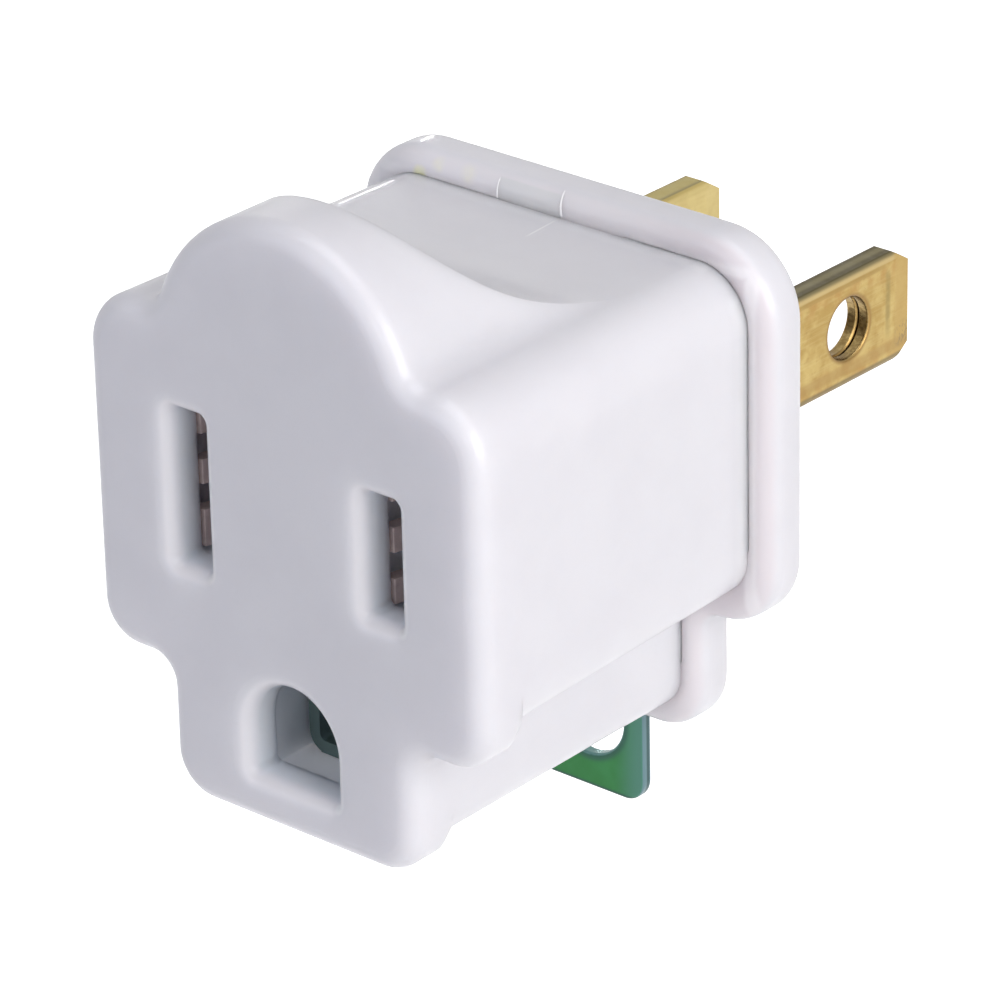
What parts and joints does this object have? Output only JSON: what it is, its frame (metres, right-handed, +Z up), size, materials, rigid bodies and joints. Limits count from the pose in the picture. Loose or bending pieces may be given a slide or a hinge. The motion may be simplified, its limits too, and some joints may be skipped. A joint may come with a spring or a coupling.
{
  "type": "grounding plug adapter",
  "caption": "White moulded adapter with a grounded outlet face, two polarised flat brass blades at the back and a green metal ground tab under them.",
  "frame": {"origin": "on the flat rear face that meets the wall plate, midway between the two blades on their centre line", "axes": "+Y out of the back, along the blades; -Y out of the outlet face; +Z up, away from the ground tab; +X right, seen from the outlet face"},
  "size_m": [0.0274, 0.0412, 0.0394],
  "materials": {
    "housing_plastic": "fine satin moulded",
    "cover_plastic": "fine satin moulded",
    "neutral_brass": "rolled, slightly dull",
    "hot_brass": "rolled, slightly dull",
    "green_strap": "green dyed, satin"
  },
  "bodies": {
    "root": {"front_housing": "housing_plastic", "rear_cover": "cover_plastic", "neutral_contact": "neutral_brass", "hot_contact": "hot_brass", "ground_strap": "green_strap"}
  },
  "joints": []
}
